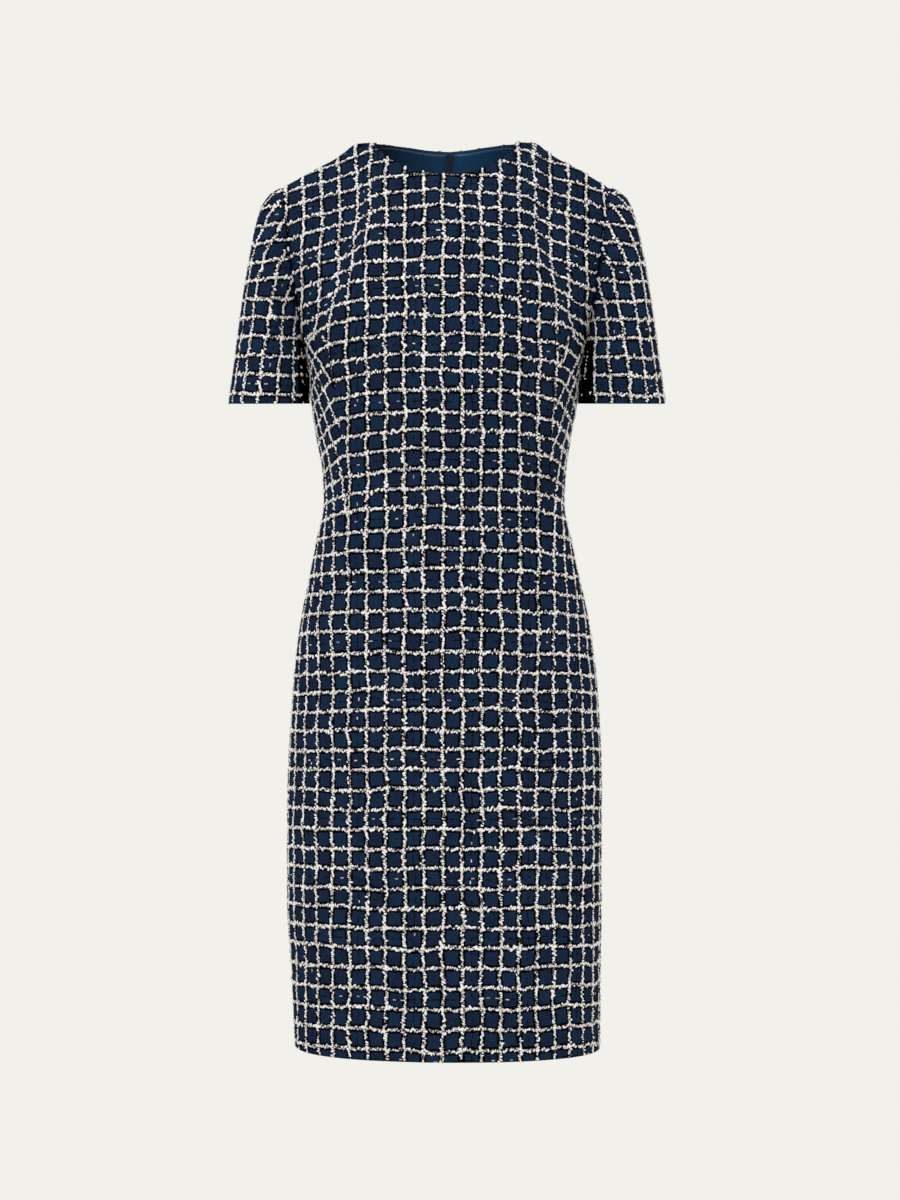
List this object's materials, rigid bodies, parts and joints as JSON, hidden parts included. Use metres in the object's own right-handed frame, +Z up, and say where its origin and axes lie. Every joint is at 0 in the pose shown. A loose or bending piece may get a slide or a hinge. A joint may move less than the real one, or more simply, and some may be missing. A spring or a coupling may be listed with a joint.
{
  "type": "sheath dress",
  "caption": "Knee-length fitted sheath dress of tweed with a wide scooped neck, short set-in sleeves and a concealed centre-back zip, filled out as worn.",
  "frame": {"origin": "midway between the two points where the shoulder seams meet the neck, where the wearer's shoulders hold the dress", "axes": "+Z up, the front faces -Y, +X is the wearer's left"},
  "size_m": [0.458, 0.2479, 0.952],
  "materials": {
    "tweed": "matte boucle tweed, navy with an ivory windowpane check",
    "lining": "navy satin",
    "zip_tape": "matte woven tape",
    "zip_coil": "satin",
    "zip_enamel": "satin enamel"
  },
  "bodies": {
    "dress": {"front": "tweed", "back_left": "tweed", "back_right": "tweed", "sleeve_left": "tweed", "sleeve_right": "tweed", "lining_back_left": "lining", "lining_back_right": "lining", "zip_tape_left": "zip_tape", "zip_tape_right": "zip_tape", "zip_coil": "zip_coil", "zip_slider": "zip_enamel"},
    "pull": {"zip_pull": "zip_enamel"}
  },
  "joints": [
    {"name": "pull_hinge", "type": "hinge", "parent": "dress", "child": "pull", "pos_m": [0.00467, 0.06881, -0.01454], "axis": [1, 0, 0], "range_deg": [0, 150]}
  ]
}
